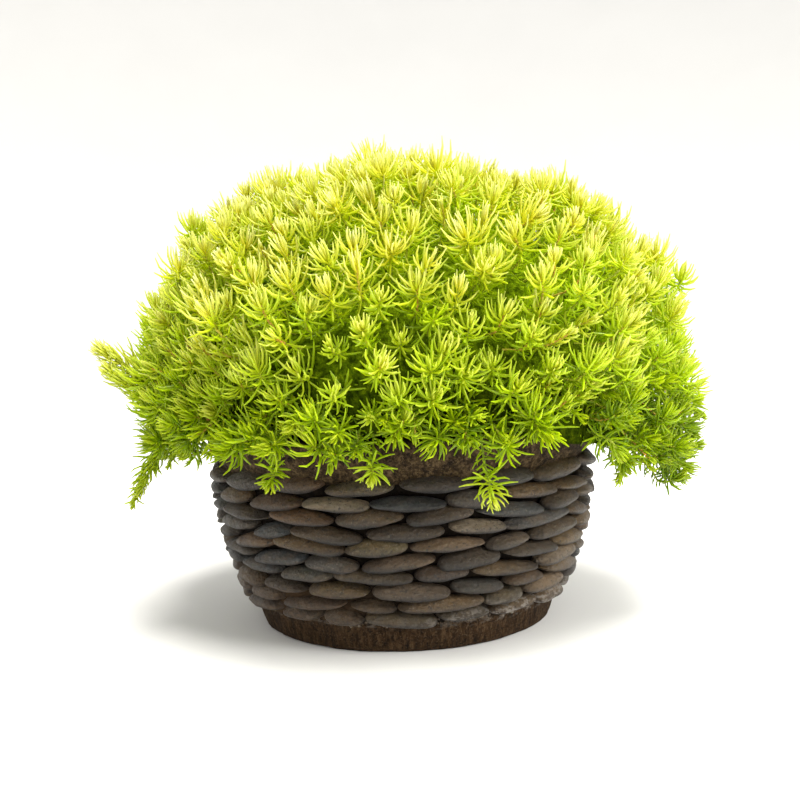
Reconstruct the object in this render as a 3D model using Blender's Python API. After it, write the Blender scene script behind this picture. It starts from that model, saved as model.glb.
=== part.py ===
"""Needle stonecrop spilling over a cement bowl that is faced with flat river pebbles.

The frame has Z up and its origin under the middle of the bowl, on the surface that it stands on.
The front is towards -Y. Sizes are in metres, angles in radians, unless a name says otherwise.
"""

import bisect
import math
import random
from collections import namedtuple

import bmesh
import bpy
from mathutils import Vector, noise

MM = 0.001
TAU = math.tau
GOLDEN_ANGLE = math.pi * (3 - math.sqrt(5))
UP = Vector((0, 0, 1))

# The bowl
GAP = 0.3 * MM                 # between two pieces that touch
FOOT_RADIUS = 114 * MM
FOOT_FLARE = 5 * MM
FOOT_TOP = 22 * MM             # the bare cement foot ends here, and the pebbles begin
CROWN_RADIUS_LOW = 112 * MM    # the pebbles' crowns, if they went on down to the ground
CROWN_RADIUS_HIGH = 148 * MM   # and under the rim
RIM_UNDERSIDE = 124 * MM
RIM_TOP = 150 * MM
RIM_RADIUS = 152 * MM
RIM_WIDTH = 25 * MM
WALL_CURVE = 2.2               # how much the side bellies out, 1 being straight
FACING_DEPTH = 14 * MM         # from the pebbles' crowns to the cement wall behind them
WALL = 10 * MM                 # cement behind the facing
FLOOR = 20 * MM
DRAINS = 3
DRAIN_RADIUS = 6 * MM
DRAIN_PLACE = 50 * MM          # from the middle of the floor
DRAIN_SIDES = 8
EASED_EDGE = 3 * MM
ROUND_STEPS = 36               # sides of everything turned, so that flats face flats
SMOOTH_BELOW = math.radians(35)

# The pebbles
COURSES = 10
STONES = ROUND_STEPS // 2      # in each course
STONE_SEED = 5
STONE_SHIFT = 0.17             # how far a joint strays, as a share of a stone's width
STONE_END = 0.18               # half height of the joint between two neighbours, as a share of a course
COURSE_SHIFT = 0.08            # how far it strays up or down, as a share of a course
JOINT_DEPTH = 6 * MM
CROWN_LENGTH = 0.72            # a stone's flattened crown beside the whole stone
CROWN_HEIGHT = 0.55
CROWN_EASE = 0.8 * MM
STONE_STAND = 1.4 * MM         # how far a stone stands out or back, either way
NEAREST_CROWN = (0, 1, 1, 2, 3, 3)  # which of the crown's four points each of the six corners joins

# The soil
SOIL_TOP = 135 * MM
SOIL_SWELL = 1.5 * MM          # the soil is a little higher in the middle
HOLE_DEPTH = 26 * MM
HOLE_RADIUS = 6 * MM
HOLE_SIDES = 5

# The cushion of stems
HEART = Vector((0, 0, 190 * MM))
CUSHION_RADIUS = 218 * MM      # from the heart to the tips, level
CUSHION_RISE = 172 * MM        # from the heart up to the tips
CUSHION_POWER = 2.3            # 2 is an ellipse, and more is boxier
LEAN = 0.045                   # the cushion leans to the right by this share of its radius
LUMP = 0.07                    # how lumpy it is, as a share of its radius
LUMP_PITCH = 2.3
MOUNDS = (                     # turn, rise and spread of each, and how far it stands out
    (math.radians(195), math.radians(41), math.radians(17), 15 * MM),
    (math.radians(-15), math.radians(21), math.radians(11), 10 * MM),
)
DROOP = math.radians(15)       # how far below level the skirt hangs
TUCK = 110 * MM                # the skirt curls in as an ellipse this tall would below the heart
SPILLS = (                     # turn and spread, and how much further it hangs and less it curls in there
    (math.radians(-25), math.radians(36), math.radians(11), 130 * MM),
    (math.radians(190), math.radians(30), math.radians(7), 0),
)
ROOTED_RADIUS = 112 * MM       # stems rise from this much of the soil
STEM_START = 141 * MM
BEND_RADIUS = 165 * MM         # the control point of the outermost stem's curve
BEND_TOP = 255 * MM            # and of the middle one's
BEND_FALL = 62 * MM            # how much lower it is for the outermost

# Clumps of stems: name, inner and outer share of the rooted radius, number round the ring
RINGS = (
    ("crown_stems", 0.00, 0.25, 3),
    ("upper_stems", 0.25, 0.50, 7),
    ("middle_stems", 0.50, 0.75, 10),
    ("skirt_stems", 0.75, 1.00, 12),
)
SHARE_MARGIN = 0.0035          # keeps neighbouring clumps apart
SIDE_MARGIN = 0.5 * MM
CROWN_MIDDLE = 0.02            # the crown's clumps leave this share of the middle free
CORE_TOP = 0.79                # a clump's dense middle ends here along its stems
CORE_NECK = 0.48               # and narrows to a bundle here
NECK_RADIUS = 8 * MM
CORE_ROWS = 2
CORE_COLUMNS = 3
TUFT = (5 * MM, 10 * MM)       # heights of the tufts that roughen it
TUFT_SHIFT = (0.25, 0.4)       # from a tuft's tip to two sides of its square, in squares
STALK_RADIUS = 4.5 * MM        # of the corners, which the hole's flats clear
STALK_SIDES = CORE_ROWS + CORE_COLUMNS  # one for every second corner of the core's edge

# Shoots
SHOOTS = 188
SHOOT_SEED = 11
SHOOT_SHIFT = 2.5 * MM
AREA_STEPS = 400               # in which the cushion's area is summed from the crown down
SHOOT_ROOT = 0.25              # how deep in the core a shoot is rooted, towards the neck
SHOOT_WAY = 0.85               # a shoot goes on the way that its stem runs from here to the tip
SHOOT_RINGS = 3
SHOOT_STEP = 3.6 * MM          # between rings of a shoot
SHOOT_FOOT = (19 * MM, 26 * MM)  # from the cushion's surface down to a shoot's first needles
UPTURN = 0.5                   # how much a shoot turns up towards the light
STEM_RADIUS = 2.6 * MM
STEM_SIDES = 3
STEM_TWIST = math.radians(47)  # from one ring of a stem to the next
NEEDLE = 18 * MM
NEEDLE_SPREAD = 2 * MM
LEAN_SPREAD = math.radians(5)
LOOSE_LEAN = math.radians(8)   # the outer needles stand this steeply on their shoot
TIGHT_LEAN = math.radians(66)  # and the middle ones this steeply

# Long shoots, which leave the cushion
TRAIL_ROOT = 0.9               # share of the rooted radius over which they are rooted
TRAIL_STEP = 9 * MM
TRAIL_LEAN = math.radians(35)
TRAIL_NEEDLE = 14 * MM
LONG_SHOOTS = (                # turn in degrees, then radius and height of each point in millimetres
    (199, ((180, 184), (206, 192), (226, 212))),
    (190, ((170, 160), (196, 138), (208, 103))),
    (170, ((170, 160), (190, 140), (198, 117))),
    (245, ((168, 164), (182, 142), (172, 122))),
    (264, ((166, 166), (180, 148), (172, 130))),
    (291, ((168, 164), (184, 142), (174, 118))),
    (325, ((172, 158), (190, 138), (182, 112))),
)

COLOURS = {                    # base colour, roughness
    "cement": ((0.205, 0.160, 0.130), 0.95),
    "pebble": ((0.190, 0.175, 0.160), 0.70),
    "soil": ((0.045, 0.032, 0.024), 1.00),
    "crown_stems": ((0.640, 0.700, 0.060), 0.50),
    "upper_stems": ((0.560, 0.680, 0.050), 0.50),
    "middle_stems": ((0.430, 0.620, 0.040), 0.50),
    "skirt_stems": ((0.330, 0.540, 0.035), 0.50),
}

# The part of the cushion that one clump fills: between two shares of the rooted radius and two turns
Cell = namedtuple("Cell", "name ring inner outer first last")


def material(name):
    found = bpy.data.materials.get(name)
    if found:
        return found
    made = bpy.data.materials.new(name)
    made.use_nodes = True
    colour, roughness = COLOURS[name]
    shader = made.node_tree.nodes["Principled BSDF"]
    shader.inputs["Base Color"].default_value = (*colour, 1.0)
    shader.inputs["Roughness"].default_value = roughness
    shader.inputs["Metallic"].default_value = 0.0
    return made


def new_object(name, bm, finish, collection=None):
    """An object made from a bmesh, which it frees."""
    bmesh.ops.recalc_face_normals(bm, faces=bm.faces)
    mesh = bpy.data.meshes.new(name)
    bm.to_mesh(mesh)
    bm.free()
    mesh.materials.append(material(finish))
    made = bpy.data.objects.new(name, mesh)
    (collection or bpy.context.scene.collection).objects.link(made)
    return made


def tool_collection(name):
    made = bpy.data.collections.new(name)
    bpy.context.scene.collection.children.link(made)
    return made


def join_or_cut(target, tools, operation):
    """One Boolean on a collection of tools, applied, and the tools removed."""
    finish = target.data.materials[0]
    modifier = target.modifiers.new("tools", "BOOLEAN")
    modifier.operation = operation
    modifier.operand_type = "COLLECTION"
    modifier.collection = tools
    graph = bpy.context.evaluated_depsgraph_get()
    made = bpy.data.meshes.new_from_object(target.evaluated_get(graph))
    target.modifiers.clear()
    target.data = made
    made.materials.clear()
    made.materials.append(finish)
    for tool in list(tools.objects):
        bpy.data.objects.remove(tool)
    bpy.data.collections.remove(tools)


def around(turn, radius, z):
    return Vector((radius * math.cos(turn), radius * math.sin(turn), z))


def fan(bm, ring, tip):
    return [bm.faces.new((ring[k - 1], ring[k], tip)) for k in range(len(ring))]


def band(bm, near, far):
    for k in range(len(near)):
        bm.faces.new((near[k - 1], near[k], far[k], far[k - 1]))


# The bowl and its soil


def crown_radius(z):
    """Radius of the pebbles' crowns at a height."""
    share = 1 - min(1.0, max(0.0, z / RIM_UNDERSIDE))
    return CROWN_RADIUS_LOW + (CROWN_RADIUS_HIGH - CROWN_RADIUS_LOW) * (1 - share**WALL_CURVE)


def turned(name, profile, finish):
    """A solid turned about Z from (radius, height) points, of which the first and last are on it."""
    bm = bmesh.new()
    rows = [bm.verts.new((radius, 0, z)) for radius, z in profile]
    edges = [bm.edges.new(pair) for pair in zip(rows, rows[1:])]
    bmesh.ops.spin(
        bm, geom=rows + edges, axis=(0, 0, 1), cent=(0, 0, 0), steps=ROUND_STEPS, angle=TAU
    )
    bmesh.ops.remove_doubles(bm, verts=bm.verts, dist=0.01 * MM)
    return new_object(name, bm, finish)


def post(name, place, radius, low, high, sides, collection):
    """An upright prism, which cuts a hole."""
    bm = bmesh.new()
    bmesh.ops.create_cone(
        bm, segments=sides, cap_ends=True, radius1=radius, radius2=radius, depth=high - low
    )
    bmesh.ops.translate(bm, verts=bm.verts, vec=(place.x, place.y, (low + high) / 2))
    return new_object(name, bm, "soil", collection)


def shade_round(made):
    made.data.shade_smooth()
    made.data.set_sharp_from_angle(angle=SMOOTH_BELOW)


def cement_bowl():
    behind = FACING_DEPTH + GAP
    inside = behind + WALL
    foot, head = crown_radius(FOOT_TOP), crown_radius(RIM_UNDERSIDE)
    lip = RIM_RADIUS - RIM_WIDTH
    bowl = turned("cement_bowl", [
        (0, 0),
        (FOOT_RADIUS - EASED_EDGE, 0),
        (FOOT_RADIUS, EASED_EDGE),
        (FOOT_RADIUS + FOOT_FLARE, FOOT_TOP),
        (foot - behind, FOOT_TOP),
        (head - behind, RIM_UNDERSIDE),
        (RIM_RADIUS, RIM_UNDERSIDE),
        (RIM_RADIUS, RIM_TOP - EASED_EDGE),
        (RIM_RADIUS - EASED_EDGE, RIM_TOP),
        (lip, RIM_TOP),
        (foot - inside, FLOOR),
        (0, FLOOR),
    ], "cement")
    drains = tool_collection("drains")
    for k in range(DRAINS):
        place = around(TAU * k / DRAINS, DRAIN_PLACE, 0)
        post("drain", place, DRAIN_RADIUS, -EASED_EDGE, FLOOR + EASED_EDGE, DRAIN_SIDES, drains)
    join_or_cut(bowl, drains, "DIFFERENCE")
    shade_round(bowl)


def potting_soil(cells):
    foot = crown_radius(FOOT_TOP) - FACING_DEPTH - 2 * GAP - WALL
    lip = RIM_RADIUS - RIM_WIDTH - GAP
    edge = foot + (lip - foot) * (SOIL_TOP - FLOOR) / (RIM_TOP - FLOOR)
    soil = turned("potting_soil", [
        (0, FLOOR + GAP),
        (foot - GAP, FLOOR + GAP),
        (edge - GAP, SOIL_TOP),
        (0, SOIL_TOP + SOIL_SWELL),
    ], "soil")
    holes = tool_collection("holes")
    for cell in cells:
        bottom, above = SOIL_TOP - HOLE_DEPTH, SOIL_TOP + EASED_EDGE
        post("hole", stalk_place(cell), HOLE_RADIUS, bottom, above, HOLE_SIDES, holes)
    join_or_cut(soil, holes, "DIFFERENCE")
    shade_round(soil)


# The facing of pebbles


def stone_joints(bm, draw, low, course):
    """The upper and lower end of each joint between two stones of a course.

    One course more above and one below bound the wall, and have a level edge instead.
    """
    high = low + course * COURSES
    upper, lower = {}, {}
    for c in range(-1, COURSES + 1):
        for k in range(STONES):
            turn = (k + 0.5 * (c % 2) + draw.uniform(-STONE_SHIFT, STONE_SHIFT)) * TAU / STONES
            middle = low + course * (c + 0.5 + draw.uniform(-COURSE_SHIFT, COURSE_SHIFT))
            top, bottom = middle + STONE_END * course, middle - STONE_END * course
            if c <= 0:
                bottom = low
            if c >= COURSES - 1:
                top = high
            if c < 0:
                top = low
            if c == COURSES:
                bottom = high
            upper[c, k] = bm.verts.new(around(turn, crown_radius(top) - JOINT_DEPTH, top))
            if 0 <= c < COURSES:
                lower[c, k] = bm.verts.new(around(turn, crown_radius(bottom) - JOINT_DEPTH, bottom))
            else:
                lower[c, k] = upper[c, k]
    return upper, lower


def stone(bm, corners, stand):
    """One lens-shaped stone: its six corners in the joints, and a crown of four points."""
    low_left, bottom, low_right, high_right, top, high_left = (v.co for v in corners)
    middle = (low_left + bottom + low_right + high_right + top + high_left) / 6
    crown = []
    for edge, share in (
        ((low_left + high_left) / 2, CROWN_LENGTH),
        (bottom, CROWN_HEIGHT),
        ((low_right + high_right) / 2, CROWN_LENGTH),
        (top, CROWN_HEIGHT),
    ):
        at = middle.lerp(edge, share)
        out = crown_radius(at.z) - CROWN_EASE + stand
        crown.append(bm.verts.new(around(math.atan2(at.y, at.x), out, at.z)))
    for i in range(6):
        j = (i + 1) % 6
        near, far = NEAREST_CROWN[i], NEAREST_CROWN[j]
        face = [corners[i], corners[j], crown[far]]
        if near != far:
            face.append(crown[near])
        bm.faces.new(face)
    bm.faces.new(crown)


def pebble_facing():
    """Courses of flat stones, bonded like brickwork, in front of a plain back."""
    draw = random.Random(STONE_SEED)
    low, high = FOOT_TOP + GAP, RIM_UNDERSIDE - GAP
    bm = bmesh.new()
    upper, lower = stone_joints(bm, draw, low, (high - low) / COURSES)
    for c in range(COURSES):
        for k in range(STONES):
            beside, bonded = (k + 1) % STONES, (k + c % 2) % STONES
            stone(bm, (
                lower[c, k], upper[c - 1, bonded], lower[c, beside],
                upper[c, beside], lower[c + 1, bonded], upper[c, k],
            ), draw.uniform(-STONE_STAND, STONE_STAND))
    loops = [[v for k in range(STONES) for v in (lower[0, k], upper[-1, k])]]
    for z in (low, high):
        radius = crown_radius(z) - FACING_DEPTH
        back = [around(TAU * i / ROUND_STEPS, radius, z) for i in range(ROUND_STEPS)]
        loops.append([bm.verts.new(place) for place in back])
    loops.append([v for k in range(STONES) for v in (lower[COURSES, k], upper[COURSES - 1, k])])
    for near, far in zip(loops, loops[1:]):
        band(bm, near, far)
    new_object("pebble_facing", bm, "pebble")


# The form of the cushion


def skirt(turn):
    """How far the skirt hangs below level at a turn, and how tall an ellipse it curls in by."""
    hang, tuck = DROOP, TUCK
    for middle, spread, further, less in SPILLS:
        away = math.remainder(turn - middle, TAU) / spread
        share = math.exp(-away * away)
        hang += further * share
        tuck += less * share
    return hang, tuck


def direction(rise, turn):
    return Vector((math.cos(rise) * math.cos(turn), math.cos(rise) * math.sin(turn), math.sin(rise)))


def surface(rise, turn):
    """The point that the tips reach in a direction from the heart."""
    out, up = math.cos(rise) / CUSHION_RADIUS, abs(math.sin(rise))
    up /= CUSHION_RISE if rise > 0 else skirt(turn)[1]
    way = direction(rise, turn)
    reach = (out**CUSHION_POWER + up**CUSHION_POWER) ** (-1 / CUSHION_POWER)
    reach *= 1 + LEAN * way.x + LUMP * noise.noise(way * LUMP_PITCH)
    for mound_turn, mound_rise, spread, height in MOUNDS:
        away = way.angle(direction(mound_rise, mound_turn)) / spread
        reach += height * math.exp(-away * away)
    return HEART + way * reach


def flow(share, turn, along):
    """A point on a stem, which is share of the way from the middle of the soil to its edge.

    along is 0 at the soil and 1 at the tip.
    """
    start = around(turn, ROOTED_RADIUS * share, STEM_START)
    bend = around(turn, BEND_RADIUS * share, BEND_TOP - BEND_FALL * share**1.5)
    end = surface(math.pi / 2 - (math.pi / 2 + skirt(turn)[0]) * share, turn)
    back = 1 - along
    return start * back * back + bend * 2 * along * back + end * along * along


def clump_cells():
    cells = []
    for ring, inner, outer, count in RINGS:
        for k in range(count):
            name = f"{ring}_{k + 1:02d}"
            cells.append(Cell(name, ring, inner, outer, TAU * k / count, TAU * (k + 1) / count))
    return cells


def cell_middle(cell):
    return (cell.inner + cell.outer) / 2, (cell.first + cell.last) / 2


def stalk_place(cell):
    share, turn = cell_middle(cell)
    return around(turn, ROOTED_RADIUS * share, 0)


def within(cell, share, turn):
    return cell.first <= turn % TAU < cell.last and cell.inner <= share < cell.outer


# A clump's dense middle


def core_point(cell, share, turn, lift=0.0):
    """A point on top of a clump's core, kept a little inside its sides."""
    low, high = max(cell.inner + SHARE_MARGIN, CROWN_MIDDLE), cell.outer - SHARE_MARGIN
    share = min(max(share, low), high)
    at = flow(share, turn, CORE_TOP)
    margin = SIDE_MARGIN / math.hypot(at.x, at.y)
    turn = min(max(turn, cell.first + margin), cell.last - margin)
    at = flow(share, turn, CORE_TOP)
    return at + (flow(share, turn, 1) - at).normalized() * lift


def core_top(bm, cell):
    """The core's top, roughened by two tufts a square. Returns the corners round its edge."""
    draw = random.Random(cell.name)

    def corner(row, column, lift=0.0):
        share = cell.inner + (cell.outer - cell.inner) * row / CORE_ROWS
        turn = cell.first + (cell.last - cell.first) * column / CORE_COLUMNS
        return bm.verts.new(core_point(cell, share, turn, lift))

    rows, columns = range(CORE_ROWS), range(CORE_COLUMNS)
    grid = [[corner(i, j) for j in range(CORE_COLUMNS + 1)] for i in range(CORE_ROWS + 1)]
    for i in rows:
        for j in columns:
            square = (grid[i][j], grid[i + 1][j], grid[i + 1][j + 1], grid[i][j + 1])
            near, far = draw.uniform(*TUFT_SHIFT), draw.uniform(*TUFT_SHIFT)
            fan(bm, square[:3], corner(i + 1 - near, j + far, draw.uniform(*TUFT)))
            near, far = draw.uniform(*TUFT_SHIFT), draw.uniform(*TUFT_SHIFT)
            ring = (square[2], square[3], square[0])
            fan(bm, ring, corner(i + near, j + 1 - far, draw.uniform(*TUFT)))
    edge = [grid[0][j] for j in columns] + [grid[i][-1] for i in rows]
    edge += [grid[-1][-1 - j] for j in columns] + [grid[-1 - i][0] for i in rows]
    return edge


def clump_core(cell):
    """The dense middle of a clump, which narrows to a bundle and then to a stalk in the soil."""
    bm = bmesh.new()
    edge = core_top(bm, cell)
    neck_middle = flow(*cell_middle(cell), CORE_NECK)
    middle = sum((v.co for v in edge), Vector()) / len(edge)
    axis = (middle - neck_middle).normalized()
    sides = []
    for v in edge[::2]:
        side = v.co - middle
        sides.append((side - axis * side.dot(axis)).normalized())
    neck = [bm.verts.new(neck_middle + side * NECK_RADIUS) for side in sides]
    for k in range(STALK_SIDES):
        n = (k + 1) % STALK_SIDES
        here, between, beyond = edge[2 * k], edge[2 * k + 1], edge[2 * n]
        bm.faces.new((here, between, neck[k]))
        bm.faces.new((between, neck[n], neck[k]))
        bm.faces.new((between, beyond, neck[n]))

    upright = axis.rotation_difference(UP)
    above = neck
    for z in (STEM_START, SOIL_TOP - HOLE_DEPTH + GAP):
        centre = stalk_place(cell) + UP * z
        below = [bm.verts.new(centre + upright @ side * STALK_RADIUS) for side in sides]
        band(bm, above, below)
        above = below
    bm.faces.new(above)
    return new_object(cell.name, bm, cell.ring)


# Shoots and needles


def stem_loops(bm, points):
    """Rings of corners round all points but the last, each turned a little from the one before.

    Returns the rings and the way the stem runs at each.
    """
    side = (points[1] - points[0]).orthogonal()
    loops, axes = [], []
    for k, centre in enumerate(points[:-1]):
        axis = (points[k + 1] - centre).normalized()
        side = (side - axis * side.dot(axis)).normalized()
        other = axis.cross(side)
        turns = [TAU * i / STEM_SIDES + STEM_TWIST * k for i in range(STEM_SIDES)]
        spokes = [side * math.cos(turn) + other * math.sin(turn) for turn in turns]
        loops.append([bm.verts.new(centre + spoke * STEM_RADIUS) for spoke in spokes])
        axes.append(axis)
    return loops, axes


def leafy_stem(name, root, points, needle, leans, collection):
    """A stem from a root in the core along points to its tip, set all over with needles.

    leans holds the needles' slope at the foot of the leafy stretch and at its tip.
    """
    draw = random.Random(name)
    bm = bmesh.new()
    loops, axes = stem_loops(bm, points)
    fan(bm, loops[0], bm.verts.new(root))
    leaves = []
    for k, (near, far) in enumerate(zip(loops, loops[1:])):
        for i in range(STEM_SIDES):
            leaves.append((k, bm.faces.new((near[i - 1], near[i], far[i - 1]))))
            leaves.append((k, bm.faces.new((near[i], far[i], far[i - 1]))))
    last = len(loops) - 1
    leaves += [(last, face) for face in fan(bm, loops[last], bm.verts.new(points[-1]))]
    loose, tight = leans
    for k, face in leaves:
        centre = face.calc_center_median()
        foot = points[k] + axes[k] * (centre - points[k]).dot(axes[k])
        out = (centre - foot).normalized()
        share = (k + (foot - points[k]).length / (points[k + 1] - points[k]).length) / len(loops)
        lean = loose + (tight - loose) * share + draw.uniform(-LEAN_SPREAD, LEAN_SPREAD)
        length = needle + draw.uniform(-NEEDLE_SPREAD, NEEDLE_SPREAD)
        point = bmesh.ops.poke(bm, faces=[face])["verts"][0]
        point.co = foot + (out * math.cos(lean) + axes[k] * math.sin(lean)) * length
    new_object(name, bm, "upper_stems", collection)


def rooted_in(cell, share, turn):
    """A point inside the core, under a shoot."""
    return core_point(cell, share, turn).lerp(flow(*cell_middle(cell), CORE_NECK), SHOOT_ROOT)


def add_shoot(cell, name, share, turn, shoots):
    tip = flow(share, turn, 1)
    way = (tip - flow(share, turn, SHOOT_WAY)).normalized()
    foot = tip - way * random.Random(name).uniform(*SHOOT_FOOT)
    axis = (way + UP * UPTURN).normalized()
    points = [foot + axis * SHOOT_STEP * k for k in range(SHOOT_RINGS + 1)]
    leafy_stem(name, rooted_in(cell, share, turn), points, NEEDLE, (LOOSE_LEAN, TIGHT_LEAN), shoots)


def curve_through(points, step):
    """Points about a step apart on a smooth curve that starts at the first point and ends at the last."""
    first, bend, last = points
    count = round(((bend - first).length + (last - bend).length) / step)
    shares = [k / count for k in range(count + 1)]
    return [first * (1 - s) ** 2 + bend * 2 * s * (1 - s) + last * s * s for s in shares]


def add_long_shoot(cell, name, turn, route, shoots):
    points = curve_through([around(turn, radius * MM, z * MM) for radius, z in route], TRAIL_STEP)
    root = rooted_in(cell, TRAIL_ROOT, turn)
    leafy_stem(name, root, points, TRAIL_NEEDLE, (TRAIL_LEAN, TIGHT_LEAN), shoots)


def shoot_places():
    """Shoots spread evenly over the cushion, a golden angle apart, as (share, turn)."""
    draw = random.Random(SHOOT_SEED)
    lowest_turn = SPILLS[0][0]
    lowest = -skirt(lowest_turn)[0]
    rises = [
        math.pi / 2 + (lowest - math.pi / 2) * k / AREA_STEPS for k in range(AREA_STEPS + 1)
    ]
    area = [0.0]
    for low, high in zip(rises, rises[1:]):
        near, far = surface(low, lowest_turn), surface(high, lowest_turn)
        area.append(area[-1] + (near - far).length * math.hypot(*((near + far) / 2).xy))
    shift = SHOOT_SHIFT / CUSHION_RADIUS
    places = []
    for k in range(SHOOTS):
        rise = rises[bisect.bisect(area, area[-1] * (k + 0.5) / SHOOTS)]
        rise += draw.uniform(-shift, shift)
        turn = k * GOLDEN_ANGLE + draw.uniform(-shift, shift)
        share = (math.pi / 2 - rise) / (math.pi / 2 + skirt(turn)[0])
        if share < 1:
            places.append((share, turn))
    return places


def clump(cell, places):
    """One clump of stems: its stalk, its dense core and its shoots, fused."""
    core = clump_core(cell)
    shoots = tool_collection("shoots")
    for k, (share, turn) in enumerate(places):
        add_shoot(cell, f"{cell.name}_shoot_{k}", share, turn, shoots)
    for degrees, route in LONG_SHOOTS:
        turn = math.radians(degrees)
        if within(cell, TRAIL_ROOT, turn):
            add_long_shoot(cell, f"long_shoot_{degrees}", turn, route, shoots)
    join_or_cut(core, shoots, "UNION")


def main():
    for old in list(bpy.data.objects):
        bpy.data.objects.remove(old)
    cells = clump_cells()
    cement_bowl()
    pebble_facing()
    potting_soil(cells)
    places = shoot_places()
    for cell in cells:
        clump(cell, [place for place in places if within(cell, *place)])


main()
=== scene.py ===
"""Looks of the potted needle stonecrop: a cushion of needle leaves over a bowl faced with pebbles.

Sizes are in metres and angles in radians, unless a name says otherwise. Z is up, and the front is
towards -Y. The cushion and the bowl follow the same rules as the solids that these pieces replace.
"""

import bisect
import random
from collections import namedtuple
from functools import partialmethod
from math import ceil, copysign, cos, exp, hypot, pi, radians, remainder, sin, sqrt, tau

import bmesh
import bpy
from mathutils import Euler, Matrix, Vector, noise


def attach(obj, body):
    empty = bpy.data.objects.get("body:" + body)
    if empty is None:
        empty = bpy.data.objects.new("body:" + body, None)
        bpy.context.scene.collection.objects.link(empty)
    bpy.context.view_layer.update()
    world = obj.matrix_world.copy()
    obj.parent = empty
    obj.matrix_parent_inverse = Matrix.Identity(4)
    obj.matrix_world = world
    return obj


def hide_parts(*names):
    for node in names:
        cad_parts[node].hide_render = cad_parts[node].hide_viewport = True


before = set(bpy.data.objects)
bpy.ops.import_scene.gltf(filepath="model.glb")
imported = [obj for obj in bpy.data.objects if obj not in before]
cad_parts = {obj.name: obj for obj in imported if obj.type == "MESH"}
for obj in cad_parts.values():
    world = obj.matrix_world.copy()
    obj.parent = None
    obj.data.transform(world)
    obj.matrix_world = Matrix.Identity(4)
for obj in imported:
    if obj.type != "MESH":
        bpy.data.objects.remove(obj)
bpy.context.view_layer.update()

MM = 0.001
GOLDEN_ANGLE = pi * (3 - sqrt(5))
UP = Vector((0, 0, 1))


def in_radians(*rows):
    """Rows of angles in degrees, each with a length in mm at its end, as radians and metres."""
    return [(*map(radians, row[:-1]), row[-1] * MM) for row in rows]


# The bowl
FOOT_RADIUS = 114 * MM
FOOT_FLARE = 5 * MM
FOOT_TOP = 22 * MM
CROWN_RADIUS_LOW = 112 * MM
CROWN_RADIUS_HIGH = 148 * MM
RIM_UNDERSIDE = 124 * MM
RIM_TOP = 150 * MM
RIM_RADIUS = 152 * MM
RIM_WIDTH = 25 * MM
RIM_EASE = 5 * MM
RIM_SKIRT = 4 * MM  # how far it runs down behind the top stones
RIM_CURVE = ((14, -4), (10.5, -2), (5.6, 6), (1, 13))  # mm in from its edge and up from its underside
WALL_CURVE = 2.2
WALL = 10 * MM
FLOOR = 20 * MM
FACING_DEPTH = 14 * MM
DRAINS = 3
DRAIN_RADIUS = 6 * MM
DRAIN_PLACE = 50 * MM
GAP = 0.3 * MM
BOWL_STEPS = 160
CASTING_GRAIN = 0.6 * MM
SHARP_EDGE = radians(50)

# The pebbles
COURSES = 10
STONES = 18
STONE_SEED = 5
STONE_SHIFT = 0.17
STONE_STAND = 1.4 * MM
STONE_TILT = radians(6)
STONE_UNEVEN = 2.0 * MM
STONE_HEIGHT = (1.04, 1.48)  # of its cage, as a share of its room
STONE_LENGTH = (1.0, 1.15)  # the same, along its course
STONE_BLUNT = (0.25, 0.72)  # the share of its height that an end has
STONE_FLAT = (0.22, 0.54)  # the share of its length that is level
STONE_SAG = 0.22
STONE_TAPER = 1.3  # how fast its ends draw in
# Rings of a stone from its back to its crown: the share of its outline that each fills, its depth, and
# how far it sits towards the stone's underside
STONE_RINGS = ((0.58, -13 * MM, 0.0), (1.03, -7.0 * MM, -0.06), (0.54, 3.3 * MM, 0.26))
COURSE_WANDER = 0.15
TOP_COURSE_GROWTH = 1.2
TOP_COURSE_LIFT = 1.5 * MM
MORTAR_DEPTH = 11.5 * MM  # behind the crowns of the stones
MORTAR_STEPS = 120
MORTAR_ROWS = 26
SMEAR_TOP = 56 * MM  # below this, mortar fills the joints on the left
SMEAR_REACH = 75 * MM
SMEAR_DEPTH = 11 * MM
CRUMBS = 520
CRUMB_SIZE = (0.5 * MM, 1.7 * MM)
CRUMB_SEED = 31

# The soil
SOIL_TOP = 135 * MM
SOIL_MARGIN = 8 * MM
SOIL_CRUMBS = 160
SOIL_CRUMB_SIZE = (0.8 * MM, 2.6 * MM)
SOIL_SEED = 17

# The cushion of stems
HEART = Vector((0, 0, 190 * MM))
CUSHION_RADIUS = 218 * MM
CUSHION_RISE = 172 * MM
CUSHION_POWER = 2.3
LEAN = 0.045
LUMP = 0.07
LUMP_PITCH = 2.3
MOUNDS = in_radians((195, 41, 17, 15), (-15, 21, 11, 10))  # turn, rise, spread and height
DROOP = radians(15)
TUCK = 110 * MM
SPILLS = in_radians((-25, 36, 11, 130), (190, 30, 7, 0))  # turn, spread, droop and tuck
ROOTED_RADIUS = 112 * MM
STEM_START = 141 * MM
BEND_RADIUS = 165 * MM
BEND_TOP = 255 * MM
BEND_FALL = 62 * MM
RINGS = (
    ("crown_stems", 0.0, 0.25, 3),
    ("upper_stems", 0.25, 0.5, 7),
    ("middle_stems", 0.5, 0.75, 10),
    ("skirt_stems", 0.75, 1.0, 12),
)
HOLLOWS = in_radians(  # turn, rise, spread, and depth, less than 0 where the cushion is fuller
    (-8, 17, 20, 9), (178, 45, 19, 8), (182, 29, 14, 9), (211, 28, 10, 18), (190, -9, 12, 7),
    (-14, 19, 6, -9), (-15, 28, 7, 12), (-38, 47, 10, 17), (-122, 60, 10, 8), (0, -4, 16, -5),
)
LIFTED_HEMS = in_radians(  # where the lowest edge is lifted: turn, spread and height
    (-54, 16, 32), (-85, 7, 12), (-5, 16, 4), (208, 12, 10),
)
HEM_SHARE = 0.72  # the lift starts this far out
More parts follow.
